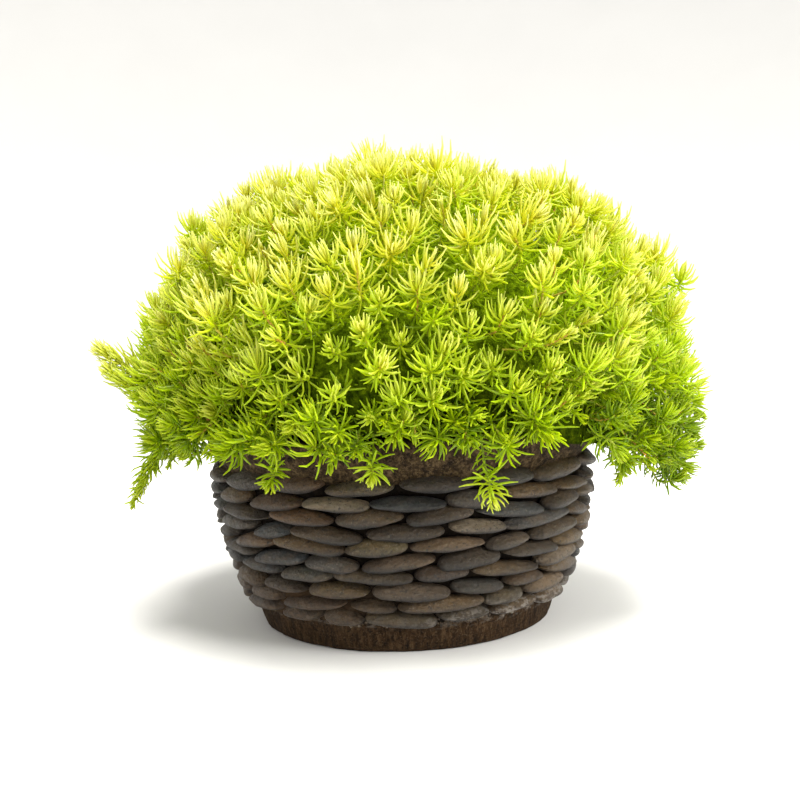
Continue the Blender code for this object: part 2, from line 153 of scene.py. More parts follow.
TANGLE_ALONG = 0.74  # how far along the stems it reaches
TANGLE_LUMP = 9 * MM
TANGLE_STEPS = 96
TANGLE_ROWS = 14
TANGLE_SIDE_ROWS = 6

# Shoots
SHOOTS = 730
SHOOT_SEED = 23
SHOOT_SHIFT = 6 * MM
AREA_STEPS = 400
ROOT_DEPTH = 12 * MM  # how deep in the soil a stem starts
TIP_DEPTH = (3 * MM, 16 * MM)  # from the cushion's surface down to a stem's tip
SHOULDER_DEPTH = 13 * MM  # and this much more on top
UPTURN = (0.8, 1.7)  # how far a shoot turns up to the light
TILT = radians(18)
LOW_TILT = 0.9  # how much more the lowest shoots lean
LOW_STEPS = 3
HIGH_STEPS = 5
HIDDEN_SHARE = 0.66  # of a stem
STEM_RADIUS = (1.0 * MM, 0.8 * MM)
STRAIGHT_END = 10 * MM
VIGOUR = (0.62, 1.14)
STRETCH = (7 * MM, 13 * MM)  # the end that carries its rosette
SPRAY_STRETCH = (24 * MM, 38 * MM)
SPRAYS = 0.32  # the share of long open shoots
SPRAY_UPTURN = 0.5
HANGING_SHARE = 0.82  # further out than this, shoots turn up less
SKIRT_SHOOTS = 64  # more, along the lowest edge
SKIRT_HANG = 7 * MM
TIP_CROWDING = 1.15
LIFT_TO_LIGHT = 0.16
SHORT_SHOOT = {
    "Rosette needles": 32, "Stem needles": 25, "Length": 19 * MM, "Width": 1.82 * MM,
    "Rosette share": 1.0, "Stem share": 3.0, "Foot lean": radians(112), "Tip lean": radians(16),
    "Packing": 1.1, "Curl spread": 0.55,
}

# Long shoots, which leave the cushion
TRAIL_ROOT = 0.9
TRAIL_STEPS = 14
TRAILING_SHOOTS = (  # turn in degrees, tone, vigour, and each point's radius and height in mm
    (199, 0.65, 1.15, ((180, 190), (206, 200), (225, 215))),
    (201, 0.55, 1.15, ((178, 176), (202, 184), (220, 200))),
    (190, 0.35, 0.95, ((170, 160), (196, 136), (209, 97))),
    (192, 0.35, 0.8, ((170, 156), (190, 136), (204, 106))),
    (170, 0.3, 0.85, ((170, 160), (190, 140), (198, 117))),
    (325, 0.25, 0.9, ((172, 158), (190, 138), (182, 112))),
    (350, 0.3, 0.9, ((182, 160), (202, 136), (203, 104))),
)
TRAILING_PITCH = 0.75 * MM  # from needle to needle
TRAILING_SHOOT = {
    **SHORT_SHOOT, "Stem needles": 8, "Length": 18 * MM, "Width": 1.8 * MM, "Stem share": 0.3,
    "Foot lean": radians(80), "Tip lean": radians(38), "Packing": 1.15, "Curl spread": 0.9,
}
HANGING_SHOOTS = (  # the same, for those in front, which end in open rosettes
    (243, 0.35, 0.75, ((168, 164), (171, 142), (184, 126))),
    (264, 0.45, 0.9, ((166, 166), (169, 146), (182, 131))),
    (287, 0.5, 1.05, ((168, 164), (171, 137), (187, 115))),
)
HANGING_SHOOT = {
    **SHORT_SHOOT, "Rosette needles": 36, "Stem needles": 44, "Length": 18 * MM, "Width": 1.8 * MM,
    "Rosette share": 0.28, "Stem share": 0.8, "Foot lean": radians(108), "Curl spread": 0.8,
}

# Colours
DEEP_GREEN = (0.19, 0.33, 0.002)
LEAF_GREEN = (0.52, 0.675, 0.004)
LEAF_YELLOW = (0.765, 0.73, 0.012)
PALE_TIP_AND_HIGHLIGHT = (0.9, 0.935, 0.66)
DRY_MORTAR = (0.25, 0.225, 0.195)

# The room
FLOOR_STEPS = 72
FLOOR_RADIUS = 1.0
FLOOR_SWEEP = 3.2
WORLD_COLOUR = (1.0, 0.98, 0.95)
WORLD_LIGHT = 0.94
LIGHTS = (  # name, place, height of the point that it lights, size, watts and colour
    ("sky", (0.25, -0.45, 1.9), 0.25, 1.4, 99, (1.0, 0.98, 0.93)),
    ("window", (1.3, -1.0, 0.9), 0.15, 0.8, 30, (1.0, 0.98, 0.95)),
)

# The camera, where the photograph was taken from
CAMERA_PLACE = (0, -750 * MM, 214 * MM)
CAMERA_DOWN = radians(3.6)
CAMERA_ROLL = radians(-2.1)
LENS_MM = 42.5

Cell = namedtuple("Cell", "name ring inner outer first last")
Shoot = namedtuple("Shoot", "points vigour tone stretch ripe")


# Nodes


class Number:
    """A number that comes out of a node, to reckon with like any other."""

    def __init__(self, socket):
        self.socket = socket

    def reckon(self, operation, other):
        return calc(operation, self, other)

    def __rsub__(self, other):
        return calc("SUBTRACT", other, self)

    __add__ = __radd__ = partialmethod(reckon, "ADD")
    __sub__ = partialmethod(reckon, "SUBTRACT")
    __mul__ = __rmul__ = partialmethod(reckon, "MULTIPLY")
    __truediv__ = partialmethod(reckon, "DIVIDE")
    __pow__ = partialmethod(reckon, "POWER")


def tree_of(*values):
    return next(value.socket.id_data for value in values if isinstance(value, Number))


def feed(socket, value):
    """Joins an input to a number or to another socket, or gives it a plain value."""
    if isinstance(value, Number):
        value = value.socket
    if isinstance(value, bpy.types.NodeSocket):
        socket.id_data.links.new(value, socket)
    else:
        socket.default_value = (*value, 1) if socket.type == "RGBA" else value


def socket_of(sockets, key):
    """A socket by its place, or by its name among those in use."""
    if isinstance(key, int):
        return sockets[key]
    return next(socket for socket in sockets if socket.name == key and socket.enabled)


def add(tree, kind, inputs=None, **settings):
    """A new node of any family, with its settings and its inputs."""
    kinds = [family + kind for family in ("GeometryNode", "ShaderNode", "FunctionNode")]
    made = tree.nodes.new(next(kind for kind in kinds if hasattr(bpy.types, kind)))
    for name, value in settings.items():
        setattr(made, name, value)
    for key, value in (inputs or {}).items():
        feed(socket_of(made.inputs, key), value)
    return made


def result(tree, kind, inputs=None, **settings):
    return add(tree, kind, inputs, **settings).outputs[0]


def calc(operation, *values):
    return Number(result(tree_of(*values), "Math", dict(enumerate(values)), operation=operation))


def vectors(operation, first, second):
    inputs = {0: first, "Scale" if operation == "SCALE" else 1: second}
    return result(first.id_data, "VectorMath", inputs, operation=operation)


def vector_of(*values):
    return result(tree_of(*values), "CombineXYZ", dict(enumerate(values)))


def parts_of(vector):
    return [Number(part) for part in add(vector.id_data, "SeparateXYZ", {0: vector}).outputs]


def between(value, low, high):
    """low where value is 0, and high where it is 1."""
    return low + value * (high - low)


def span(value, low, high):
    """0 where value is low, and 1 where it is high."""
    return Number(result(tree_of(value), "MapRange", {"Value": value, "From Min": low, "From Max": high}))


def course(value, *points):
    """A number that follows a curve through points as value goes from 0 to 1."""
    made = add(tree_of(value), "FloatCurve", {"Value": value})
    made.mapping.use_clip = False
    line = made.mapping.curves[0]
    for point, place in zip(line.points, (points[0], points[-1])):
        point.location = place
    for place in points[1:-1]:
        line.points.new(*place)
    made.mapping.update()
    return Number(made.outputs[0])


def ramp(value, *stops):
    """A colour that goes through stops of (place, colour) in the same way."""
    made = add(tree_of(value), "ValToRGB", {0: value})
    band = made.color_ramp
    while len(band.elements) < len(stops):
        band.elements.new(0.5)
    for element, (place, colour) in zip(band.elements, stops):
        element.position = place
        element.color = (*colour, 1)
    return made.outputs[0]


def new_tree(name, floats, whole, materials=()):
    """A geometry tree, and a function that gives its inputs by their names."""
    tree = bpy.data.node_groups.new(name, "GeometryNodeTree")
    for way in ("INPUT", "OUTPUT"):
        tree.interface.new_socket("Geometry", in_out=way, socket_type="NodeSocketGeometry")
    for kind, labels in (("Float", floats), ("Int", whole), ("Material", materials)):
        for label in labels:
            tree.interface.new_socket(label, in_out="INPUT", socket_type=f"NodeSocket{kind}")
    sockets = tree.nodes.new("NodeGroupInput").outputs

    def given(label):
        return Number(sockets[label]) if label in (*floats, *whole) else sockets[label]

    return tree, given


def end_tree(geometry):
    tree = geometry.id_data
    feed(tree.nodes.new("NodeGroupOutput").inputs["Geometry"], geometry)
    return tree


def then(geometry, kind, inputs=None, **settings):
    """What the next geometry node makes of a geometry."""
    made = add(geometry.id_data, kind, inputs, **settings)
    feed(made.inputs[0], geometry)
    return made.outputs[0]


def joined(*parts):
    made = add(parts[0].id_data, "JoinGeometry")
    for part in parts:
        feed(made.inputs[0], part)
    return made.outputs[0]


def stored(geometry, name, value):
    """Keeps a number or a vector on the points."""
    kind = "FLOAT" if isinstance(value, Number) else "FLOAT_VECTOR"
    return then(geometry, "StoreNamedAttribute", {"Name": name, "Value": value}, data_type=kind)


def named(tree, name):
    """A number kept on the points."""
    return Number(named_vector(tree, name, "FLOAT"))


def named_vector(tree, name, kind="FLOAT_VECTOR"):
    made = add(tree, "InputNamedAttribute", {"Name": name}, data_type=kind)
    return socket_of(made.outputs, "Attribute")


def without(geometry, *names):
    for name in names:
        geometry = then(geometry, "RemoveAttribute", {"Name": name})
    return geometry


def dressed(geometry, finish):
    return then(then(geometry, "RealizeInstances"), "SetMaterial", {"Material": finish})


def drawn(tree, low, high, seed):
    """A number drawn for each needle or crumb."""
    made = add(tree, "RandomValue", {"Min": low, "Max": high, "Seed": seed}, data_type="FLOAT")
    return Number(socket_of(made.outputs, "Value"))


def grow(piece, tree, values):
    """Runs a tree on a piece and keeps the mesh that comes out."""
    modifier = piece.modifiers.new("rule", "NODES")
    modifier.node_group = tree
    for item in tree.interface.items_tree:
        if item.in_out == "INPUT" and item.name in values:
            modifier[item.identifier] = values[item.name]
    piece.update_tag()
    take_shape(piece)


def take_shape(piece):
    """Keeps the mesh that a piece's modifiers make."""
    graph = bpy.context.evaluated_depsgraph_get()
    mesh = bpy.data.meshes.new_from_object(piece.evaluated_get(graph))
    piece.modifiers.clear()
    piece.data = mesh


# Finishes


class Finish:
    """A material in the making, whose colour is laid on in coats."""

    def __init__(self, name, roughness, gloss=0.5):
        self.material = bpy.data.materials.new(name)
        self.material.use_nodes = True
        self.tree = self.material.node_tree
        self.shader = self.tree.nodes["Principled BSDF"]
        feed(self.shader.inputs["Roughness"], roughness)
        feed(self.shader.inputs["Specular IOR Level"], gloss)
        self.place = add(self.tree, "TexCoord").outputs["Object"]

    def grain(self, pitch, detail=4, flat=1, rough=0.55):
        """Noise in the frame's own place, pitch to the metre, and flat times as fine upwards."""
        place = result(self.tree, "Mapping", {"Vector": self.place, "Scale": (1, 1, flat)})
        inputs = {"Vector": place, "Scale": pitch, "Detail": detail, "Roughness": rough}
        return Number(result(self.tree, "TexNoise", inputs))

    def attribute(self, name, output="Fac"):
        return add(self.tree, "Attribute", attribute_name=name).outputs[output]

    def paint(self, colour):
        self.colour = colour
        feed(self.shader.inputs["Base Color"], colour)

    def coat(self, share, colour, kind="MIX"):
        """Lays a colour over a share of what is there."""
        inputs = {"Factor": share, "A": self.colour, "B": colour}
        made = add(self.tree, "Mix", inputs, data_type="RGBA", blend_type=kind)
        self.paint(socket_of(made.outputs, "Result"))

    def roughen(self, height, depth, strength=1.0):
        """Bumps of a depth in metres, over those that are there."""
        made = add(self.tree, "Bump", {"Height": height, "Distance": depth, "Strength": strength})
        normal = self.shader.inputs["Normal"]
        if normal.links:
            feed(made.inputs["Normal"], normal.links[0].from_socket)
        feed(normal, made.outputs[0])


def mottled(name, roughness, gloss, pitch, detail, *stops):
    """A finish whose colour follows its grain."""
    finish = Finish(name, roughness, gloss)
    finish.paint(ramp(finish.grain(pitch, detail), *stops))
    return finish


def leaf_finish():
    """Fleshy needles: greener low down and at their feet, yellower in the light, partly their own colour and
    partly painted light and shade, with pale tips that carry a painted highlight.
    """
    leaf = Finish("stonecrop_needle", 0.34, 0.5)
    tone, rise, luck = parts_of(leaf.attribute("leaf", "Vector"))
    yellowness = tone * (0.6 + rise * 0.6) + (luck - 0.5) * 0.18
    leaf.paint(ramp(yellowness, (0.02, DEEP_GREEN), (0.32, LEAF_GREEN), (0.85, LEAF_YELLOW)))
    # Yellow and pale tips, partly the needles' own colour and partly a painted highlight; the palest go only
    # on the upper needles of the yellow shoots.
    tips = Number(leaf.attribute("along")) ** 1.7 * span(rise, 0.1, 0.9)
    leaf.coat(tips * 0.35, LEAF_YELLOW)
    leaf.coat(tips * span(tone, 0.3, 0.85) * 0.82, PALE_TIP_AND_HIGHLIGHT)
    leaf.coat(span(leaf.grain(420, 2), 0.5, 0.75) * 0.35, LEAF_GREEN)
    glow = result(leaf.tree, "BsdfTranslucent", {"Color": leaf.colour})
    both = result(leaf.tree, "MixShader", {0: 0.56, 1: leaf.shader.outputs[0], 2: glow})
    feed(leaf.tree.nodes["Material Output"].inputs["Surface"], both)
    return leaf.material


def stem_finish():
    """Green stems that turn orange-brown on the ripe shoots and dark towards the soil."""
    stem = Finish("stonecrop_stem", 0.5, 0.3)
    stem.paint(ramp(
        Number(stem.attribute("ripe")) + stem.grain(60) * 0.3,
        (0.05, (0.03, 0.03, 0.01)), (0.3, (0.13, 0.23, 0.01)),
        (0.62, (0.4, 0.4, 0.03)), (1.0, (0.56, 0.26, 0.06)),
    ))
    stem.roughen(stem.grain(700, 3), 0.3 * MM, 0.6)
    return stem.material


def smear(finish):
    """Where earth and mortar are smeared over the lowest stones, most of all on the left."""
    across, _, height = parts_of(finish.place)
    left = between(span(across, -10 * MM, -75 * MM), 0.2, 1.0)
    patchy = span(finish.grain(55, 5, 2, 0.65), 0.3, 0.5)
    return span(height, 58 * MM, 34 * MM) * left * patchy


def crust(finish):
    """Where pale dry mortar clings above the foot, most of all on the right."""
    across, _, height = parts_of(finish.place)
    band = span(height, 15 * MM, 21 * MM) * span(height, 38 * MM, 23 * MM)
    right = between(span(across, 0, 75 * MM), 0.12, 1.0)
    return band * right * span(finish.grain(170, 6, 1.6, 0.7), 0.5, 0.57)


def pebble_finish():
    """Worn river stones, each of its own colour, with flecks, pits and a brown bloom low down, painted light
    on their upper halves and painted shade on their undersides.
    """
    pebble = Finish("river_pebble", 0.5)
    kind, shade, height = parts_of(pebble.attribute("stone", "Vector"))
    pebble.paint(ramp(
        kind, (0.0, (0.022, 0.012, 0.003)), (0.22, (0.048, 0.028, 0.008)), (0.38, (0.018, 0.022, 0.024)),
        (0.5, (0.024, 0.027, 0.026)), (0.6, (0.038, 0.027, 0.008)), (0.8, (0.066, 0.032, 0.009)),
        (1.0, (0.092, 0.072, 0.046)),
    ))
    cloud = pebble.grain(70, 6, 2.6, 0.65)
    stain = span(pebble.grain(170, 4, 1.8, 0.7), 0.5, 0.66)
    bloom = span(height, -0.1, -1.0) * span(pebble.grain(90), 0.35, 0.65)
    flecks = span(pebble.grain(620, 3, rough=0.8), 0.57, 0.68)
    pits = span(pebble.grain(480, 2, rough=0.6), 0.4, 0.34)
    for share, colour in (
        (span(cloud, 0.45, 0.66) * 0.4, (0.08, 0.044, 0.014)), (stain * 0.55, (0.013, 0.009, 0.005)),
        (bloom * 0.8, (0.06, 0.028, 0.01)), (flecks * 0.5, (0.185, 0.152, 0.118)),
        (pits * 0.85, (0.01, 0.008, 0.006)),
    ):
        pebble.coat(share, colour)
    # Painted shade darkens each stone's underside and painted light brightens its upper half, times the
    # stone's own tone.
    painted_underside_shade = between(span(height, -0.78, 0.0), 0.08, 1.0)
    over = between(span(height, 0.0, 0.8), 1.0, 1.7)
    tone_and_painted_light = between(shade, 0.43, 1.54) * (painted_underside_shade * over)
    grey = result(pebble.tree, "CombineColor", {0: tone_and_painted_light, 1: tone_and_painted_light, 2: tone_and_painted_light})
    pebble.coat(1.0, grey, "MULTIPLY")
    pebble.coat(smear(pebble) * 0.9, ramp(
        pebble.grain(200, 5, 2.5, 0.7),
        (0.35, (0.02, 0.01, 0.003)), (0.52, (0.056, 0.029, 0.01)), (0.7, (0.11, 0.07, 0.036)),
    ))
    pebble.coat(crust(pebble) * 0.8, DRY_MORTAR)
    feed(pebble.shader.inputs["Roughness"], between(cloud, 0.4, 0.72))
    pebble.roughen(pebble.grain(230, 5, rough=0.7), 5.0 * MM, 0.9)
    pebble.roughen(pebble.grain(1500, 3) - pits, 0.25 * MM, 0.6)
    return pebble.material


def mortar_finish():
    # Mortar deep in the joints, painted near-black as their shade; where smeared it is brown.
    mortar = mottled(
        "joint_mortar", 0.95, 0.1, 160, 6, (0.3, (0.002, 0.0015, 0.001)), (0.75, (0.012, 0.008, 0.005))
    )
    mortar.coat(smear(mortar), (0.04, 0.023, 0.011))
    mortar.coat(crust(mortar) * 0.6, DRY_MORTAR)
    mortar.roughen(mortar.grain(500, 6), 1.5 * MM)
    return mortar.material


def crumb_finish():
    crumb = mottled(
        "mortar_crumbs", 0.95, 0.15, 260, 5,
        (0.3, (0.045, 0.03, 0.018)), (0.5, (0.11, 0.085, 0.062)), (0.7, (0.26, 0.23, 0.195)),
    )
    crumb.roughen(crumb.grain(1400, 4), 0.8 * MM)
    return crumb.material


def cement_finish():
    """Brown cast cement: sandy and pitted on the rim, drawn into upright marks on the foot."""
    cement = Finish("brown_cement", 0.92, 0.12)
    height = parts_of(cement.place)[2]
    on_foot = span(height, 24 * MM, 19 * MM)
    cloud = cement.grain(230, 6, 0.6, 0.72)
    sand = cement.grain(760, 4, rough=0.8)
    pores = span(cement.grain(520, 3, rough=0.65), 0.44, 0.34)
    drags = cement.grain(340, 4, 0.1, 0.7)
    cement.paint(ramp(
        cloud,
        (0.36, (0.006, 0.003, 0.001)), (0.5, (0.03, 0.018, 0.007)), (0.66, (0.105, 0.07, 0.034)),
    ))
    cement.coat(on_foot, ramp(
        drags,
        (0.32, (0.01, 0.005, 0.002)), (0.5, (0.034, 0.017, 0.006)), (0.7, (0.085, 0.049, 0.023)),
    ))
    cement.coat(span(sand, 0.54, 0.64) * 0.5, (0.14, 0.098, 0.06))
    cement.coat(pores * 0.9, (0.008, 0.005, 0.003))
    dry = span(height, 18.5 * MM, 20.5 * MM) * span(height, 25 * MM, 23 * MM)
    dry = dry * span(cement.grain(150, 5), 0.46, 0.58)
    cement.coat(calc("MAXIMUM", dry * 0.7, crust(cement)) * 0.9, DRY_MORTAR)
    cement.roughen(sand + cloud * 1.5 - pores + drags * 2.2 * on_foot, 1.3 * MM)
    return cement.material


def tangle_finish():
    """Stems and needles in shade, which is deepest low down."""
    tangle = mottled(
        "shaded_tangle", 1.0, 0.0, 260, 5,
        (0.35, (0.035, 0.06, 0.001)), (0.52, (0.14, 0.22, 0.004)), (0.7, (0.32, 0.44, 0.007)),
    )
    height = parts_of(tangle.place)[2]
    tangle.coat(span(height, 250 * MM, 165 * MM) * 0.85, (0.006, 0.012, 0.001))
    tangle.roughen(tangle.grain(300, 5), 4 * MM)
    return tangle.material


def soil_finish():
    soil = mottled(
        "potting_soil", 1.0, 0.1, 320, 6,
        (0.3, (0.01, 0.007, 0.005)), (0.62, (0.05, 0.034, 0.023)), (0.8, (0.13, 0.095, 0.065)),
    )
    soil.roughen(soil.grain(420, 6), 2.5 * MM)
    return soil.material


def floor_finish():
    pale = (0.0, (0.76, 0.76, 0.75)), (1.0, (0.8, 0.8, 0.79))
    return mottled("pale_floor", 0.85, 0.5, 3, 2, *pale).material


# Meshes


def show(name, data):
    made = bpy.data.objects.new(name, data)
    bpy.context.scene.collection.objects.link(made)
    return made


def new_piece(name, bm, finish=None):
    """A piece made from a bmesh, which it frees."""
    mesh = bpy.data.meshes.new(name)
    bmesh.ops.recalc_face_normals(bm, faces=bm.faces)
    bm.to_mesh(mesh)
    bm.free()
    if finish:
        mesh.materials.append(finish)
    return show(name, mesh)


def settle(piece, slot, *nodes):
    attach(piece, "root")
    if nodes:
        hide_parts(*nodes)


def around(turn, radius, z):
    return Vector((radius * cos(turn), radius * sin(turn), z))


def hoop(radius, z, steps):
    """Points round Z, or the one on it."""
    return [around(tau * k / steps, radius, z) for k in range(steps if radius else 1)]


def hooped(name, hoops, finish, filled=(), closed=False):
    """A smooth piece of hoops of points, joined one to the next. The filled ones get a face."""
    bm = bmesh.new()
    rings = [[bm.verts.new(place) for place in places] for places in hoops]
    for low, high in zip(rings, rings[1:] + rings[:closed]):
        for k in range(max(len(low), len(high))):
            corners = ((low, k - 1), (low, k), (high, k), (high, k - 1))
            bm.faces.new(list(dict.fromkeys(ring[j % len(ring)] for ring, j in corners)))
    for k in filled:
        bm.faces.new(rings[k])
    piece = new_piece(name, bm, finish)
    piece.data.shade_smooth()
    return piece


def clamped(value, low=0.0, high=1.0):
    return min(high, max(low, value))


def fading(away):
    """1 in the middle of a bump, and less the further away."""
    return exp(-away * away)


# The form of the bowl and its facing


def crown_radius(z):
    share = 1 - clamped(z / RIM_UNDERSIDE)
    return between(1 - share**WALL_CURVE, CROWN_RADIUS_LOW, CROWN_RADIUS_HIGH)


def filled_in(profile, step):
    """The profile with points added, so that none lie further apart than step."""
    made = [profile[0]]
    for (r0, z0), (r1, z1) in zip(profile, profile[1:]):
        count = max(1, ceil(hypot(r1 - r0, z1 - z0) / step))
        made += [(r0 + (r1 - r0) * k / count, z0 + (z1 - z0) * k / count) for k in range(1, count + 1)]
    return made


def rounded(middle, radius, first, last, count):
    """Points on an arc, from one angle to another."""
    angles = [first + (last - first) * k / count for k in range(count + 1)]
    return [(middle[0] + radius * cos(a), middle[1] + radius * sin(a)) for a in angles]


def cast(place):
    """Pushes a point of the bowl in or out, as a cast surface is."""
    push = noise.noise(place * 45) * 2 + noise.noise(place * 160)
    if place.z < FOOT_TOP:
        push += noise.noise(Vector((place.x * 260, place.y * 260, place.z * 18)))
    return place + Vector((*place.xy, 0)).normalized() * (push * CASTING_GRAIN)


def bowl_profile():
    """The bowl's (radius, z) points, from under its middle to the middle of its floor."""
    foot, head = (crown_radius(z) - FACING_DEPTH - GAP for z in (FOOT_TOP, RIM_UNDERSIDE))
    lip = RIM_RADIUS - RIM_WIDTH
    flared = FOOT_RADIUS + FOOT_FLARE
    shown_foot = filled_in([
        (FOOT_RADIUS - MM, MM), (FOOT_RADIUS, 3 * MM),
        (flared - MM, FOOT_TOP - 2 * MM), (flared - 3 * MM, FOOT_TOP),
    ], 2.5 * MM)
    shown_rim = filled_in([
        *((RIM_RADIUS - inwards * MM, RIM_UNDERSIDE + up * MM) for inwards, up in RIM_CURVE),
        *rounded((RIM_RADIUS - RIM_EASE, RIM_TOP - RIM_EASE), RIM_EASE, 0, pi / 2, 5),
        *rounded((lip + RIM_EASE, RIM_TOP - RIM_EASE), RIM_EASE, pi / 2, pi, 4),
    ], 2 * MM)
    return [
        (0, 0), (FOOT_RADIUS - 3 * MM, 0), *shown_foot,
        (foot, FOOT_TOP), (head, RIM_UNDERSIDE - RIM_SKIRT), *shown_rim, (foot - WALL, FLOOR), (0, FLOOR),
    ]


def make_bowl(finish):
    hoops = [[cast(place) for place in hoop(*point, BOWL_STEPS)] for point in bowl_profile()]
    bowl = hooped("bowl_casting", hoops, finish)
    bowl.data.set_sharp_from_angle(angle=SHARP_EDGE)
    drill = bmesh.new()
    for k in range(DRAINS):
        made = bmesh.ops.create_cone(
            drill, segments=24, cap_ends=True, radius1=DRAIN_RADIUS, radius2=DRAIN_RADIUS, depth=4 * FLOOR
        )
        bmesh.ops.translate(drill, verts=made["verts"], vec=around(tau * k / DRAINS, DRAIN_PLACE, 0))
    drills = new_piece("drills", drill)
    cut = bowl.modifiers.new("drains", "BOOLEAN")
    cut.operation = "DIFFERENCE"
    cut.object = drills
    take_shape(bowl)
    bpy.data.objects.remove(drills)
    settle(bowl, "cement", "cement_bowl")


def make_mortar(finish):
    low, high = FOOT_TOP - 2 * MM, RIM_UNDERSIDE + 3 * MM
    heights = [low + (high - low) * k / MORTAR_ROWS for k in range(MORTAR_ROWS + 1)]
    profile = [(crown_radius(z) - MORTAR_DEPTH, z) for z in heights]
    profile += [(crown_radius(z) - FACING_DEPTH, z) for z in (high, low)]

    def laid(place):
        lowness = clamped((SMEAR_TOP - place.z) / SMEAR_TOP * 2.5)
        left = clamped(-place.x / SMEAR_REACH)
        full = (0.3 + 0.7 * left) * lowness * (0.6 + noise.noise(place * 40))
        return place + place.normalized() * (noise.noise(place * 150) * 1.6 * MM + full * SMEAR_DEPTH)

    hoops = [[laid(place) for place in hoop(*point, MORTAR_STEPS)] for point in profile]
    settle(hooped("joint_mortar", hoops, finish, closed=True), "pebble", "pebble_facing")


def joint_turns(draw):
    """The turn of each joint between two stones of a course, drawn as for the solids."""
    turns = {}
    for c in range(-1, COURSES + 1):
        for k in range(STONES):
            turns[c, k] = (k + 0.5 * (c % 2) + draw.uniform(-STONE_SHIFT, STONE_SHIFT)) * tau / STONES
            draw.random()  # the solids draw the joint's height here
    return turns


def stone_cage(bm, ends, middle_z, half_height, look, stand, layer):
    """A coarse cage that smooths into one blunt stone."""
    middle_turn = sum(ends) / 2
    radius = crown_radius(middle_z) + stand
    half_length = abs(ends[1] - ends[0]) / 2 * radius * look.uniform(*STONE_LENGTH)
    half_height *= look.uniform(*STONE_HEIGHT)
    thin, thick = (half_height * look.uniform(*STONE_BLUNT) for _ in range(2))
    tilt = look.uniform(-STONE_TILT, STONE_TILT)
    sag = look.uniform(-STONE_SAG, STONE_SAG) * half_length
    flat = look.uniform(*STONE_FLAT) * half_length
    outline = (
        (-half_length, -thin), (sag - flat, -half_height), (sag + flat, -half_height), (half_length, -thick),
        (half_length, thick), (flat - sag, half_height), (-flat - sag, half_height), (-half_length, thin),
    )
    traits = (look.random(), look.random())
    rings = []
    for share, depth, drop in STONE_RINGS:
        ring = []
        for x, y in outline:
            x -= copysign((1 - share) * half_height, x) * STONE_TAPER
            y = y * share - drop * half_height
            x, y = x * cos(tilt) - y * sin(tilt), y * cos(tilt) + x * sin(tilt)
            vert = bm.verts.new(around(middle_turn + x / radius, radius + depth, middle_z + y))
            vert[layer] = Vector((*traits, clamped(y / half_height, -1.0)))
            ring.append(vert)
        rings.append(ring)
    for near, far in zip(rings, rings[1:]):
        for k in range(len(outline)):
            bm.faces.new((near[k - 1], near[k], far[k], far[k - 1]))
    for ring in (rings[0][::-1], rings[-1]):
        for k in range(3):
            bm.faces.new((ring[k], ring[k + 1], ring[6 - k], ring[7 - k]))


def worn_stones_tree():
    """Smooths each cage into a pebble and wears it a little out of true."""
    tree, given = new_tree("worn_stones", ("Unevenness", "Pitch"), ("Smoothing",), ("Finish",))
    bumps = Number(result(tree, "TexNoise", {"Scale": given("Pitch"), "Detail": 1.0}))
    push = vectors("SCALE", result(tree, "InputNormal"), (bumps - 0.5) * given("Unevenness"))
    worn = then(given("Geometry"), "SubdivisionSurface", {"Level": given("Smoothing")})
    worn = then(then(worn, "SetPosition", {"Offset": push}), "SetShadeSmooth")
    return end_tree(dressed(worn, given("Finish")))


def make_pebbles(finish):
    """Each course of stones, bonded like brickwork, between the joints of the solids."""
    draw = random.Random(STONE_SEED)
    low, high = FOOT_TOP + GAP, RIM_UNDERSIDE - GAP
    course_height = (high - low) / COURSES
    turns = joint_turns(draw)
    look = random.Random(STONE_SEED + 1)
    bm = bmesh.new()
    layer = bm.verts.layers.float_vector.new("stone")
    for c in range(COURSES):
        for k in range(STONES):
            first, last = turns[c, k], turns[c, (k + 1) % STONES]
            middle_z = low + course_height * (c + 0.5 + look.uniform(-COURSE_WANDER, COURSE_WANDER))
            half_height = course_height / 2
            if c == COURSES - 1:
                middle_z += TOP_COURSE_LIFT
                half_height *= TOP_COURSE_GROWTH
            stand = draw.uniform(-STONE_STAND, STONE_STAND)
            stone_cage(bm, (first, first + (last - first) % tau), middle_z, half_height, look, stand, layer)
    stones = new_piece("river_pebbles", bm)
    worn = {"Smoothing": 2, "Unevenness": STONE_UNEVEN, "Pitch": 75.0, "Finish": finish}
    grow(stones, worn_stones_tree(), worn)
    settle(stones, "pebble", "pebble_facing")


def crumbs_tree():
    """Small rough lumps strewn on the points of a mesh."""
    tree, given = new_tree("crumbs", ("Least size", "Greatest size"), ("Seed",), ("Finish",))
    bumps = Number(result(tree, "TexNoise", {"Scale": 1.3, "Detail": 2.0}))
    rough = vectors("SCALE", result(tree, "InputPosition"), (bumps - 0.5) * 1.6)
    lump = then(result(tree, "MeshIcoSphere"), "SetPosition", {"Offset": rough})
    inputs = {"Max": (tau, tau, tau), "Seed": given("Seed")}
    turned = result(tree, "RandomValue", inputs, data_type="FLOAT_VECTOR")
    strewn = then(given("Geometry"), "InstanceOnPoints", {
        "Instance": lump, "Rotation": turned,
        "Scale": drawn(tree, given("Least size"), given("Greatest size"), given("Seed")),
    })
    return end_tree(dressed(strewn, given("Finish")))


def strew(name, places, tree, sizes, seed, finish, slot):
    """A piece with one crumb at each place."""
    bm = bmesh.new()
    for place in places:
        bm.verts.new(place)
    piece = new_piece(name, bm)
    grow(piece, tree, {"Least size": sizes[0], "Greatest size": sizes[1], "Seed": seed, "Finish": finish})
    settle(piece, slot)


def make_crumbs(tree, finish):
    draw = random.Random(CRUMB_SEED)
    places = []
    for _ in range(CRUMBS):
        z = FOOT_TOP + draw.triangular(-2.2 * MM, 2.5 * MM, 0)
        places.append(around(draw.uniform(0, tau), crown_radius(FOOT_TOP) - draw.uniform(3.0, 6.5) * MM, z))
    strew("mortar_crumbs", places, tree, CRUMB_SIZE, 3, finish, "cement")


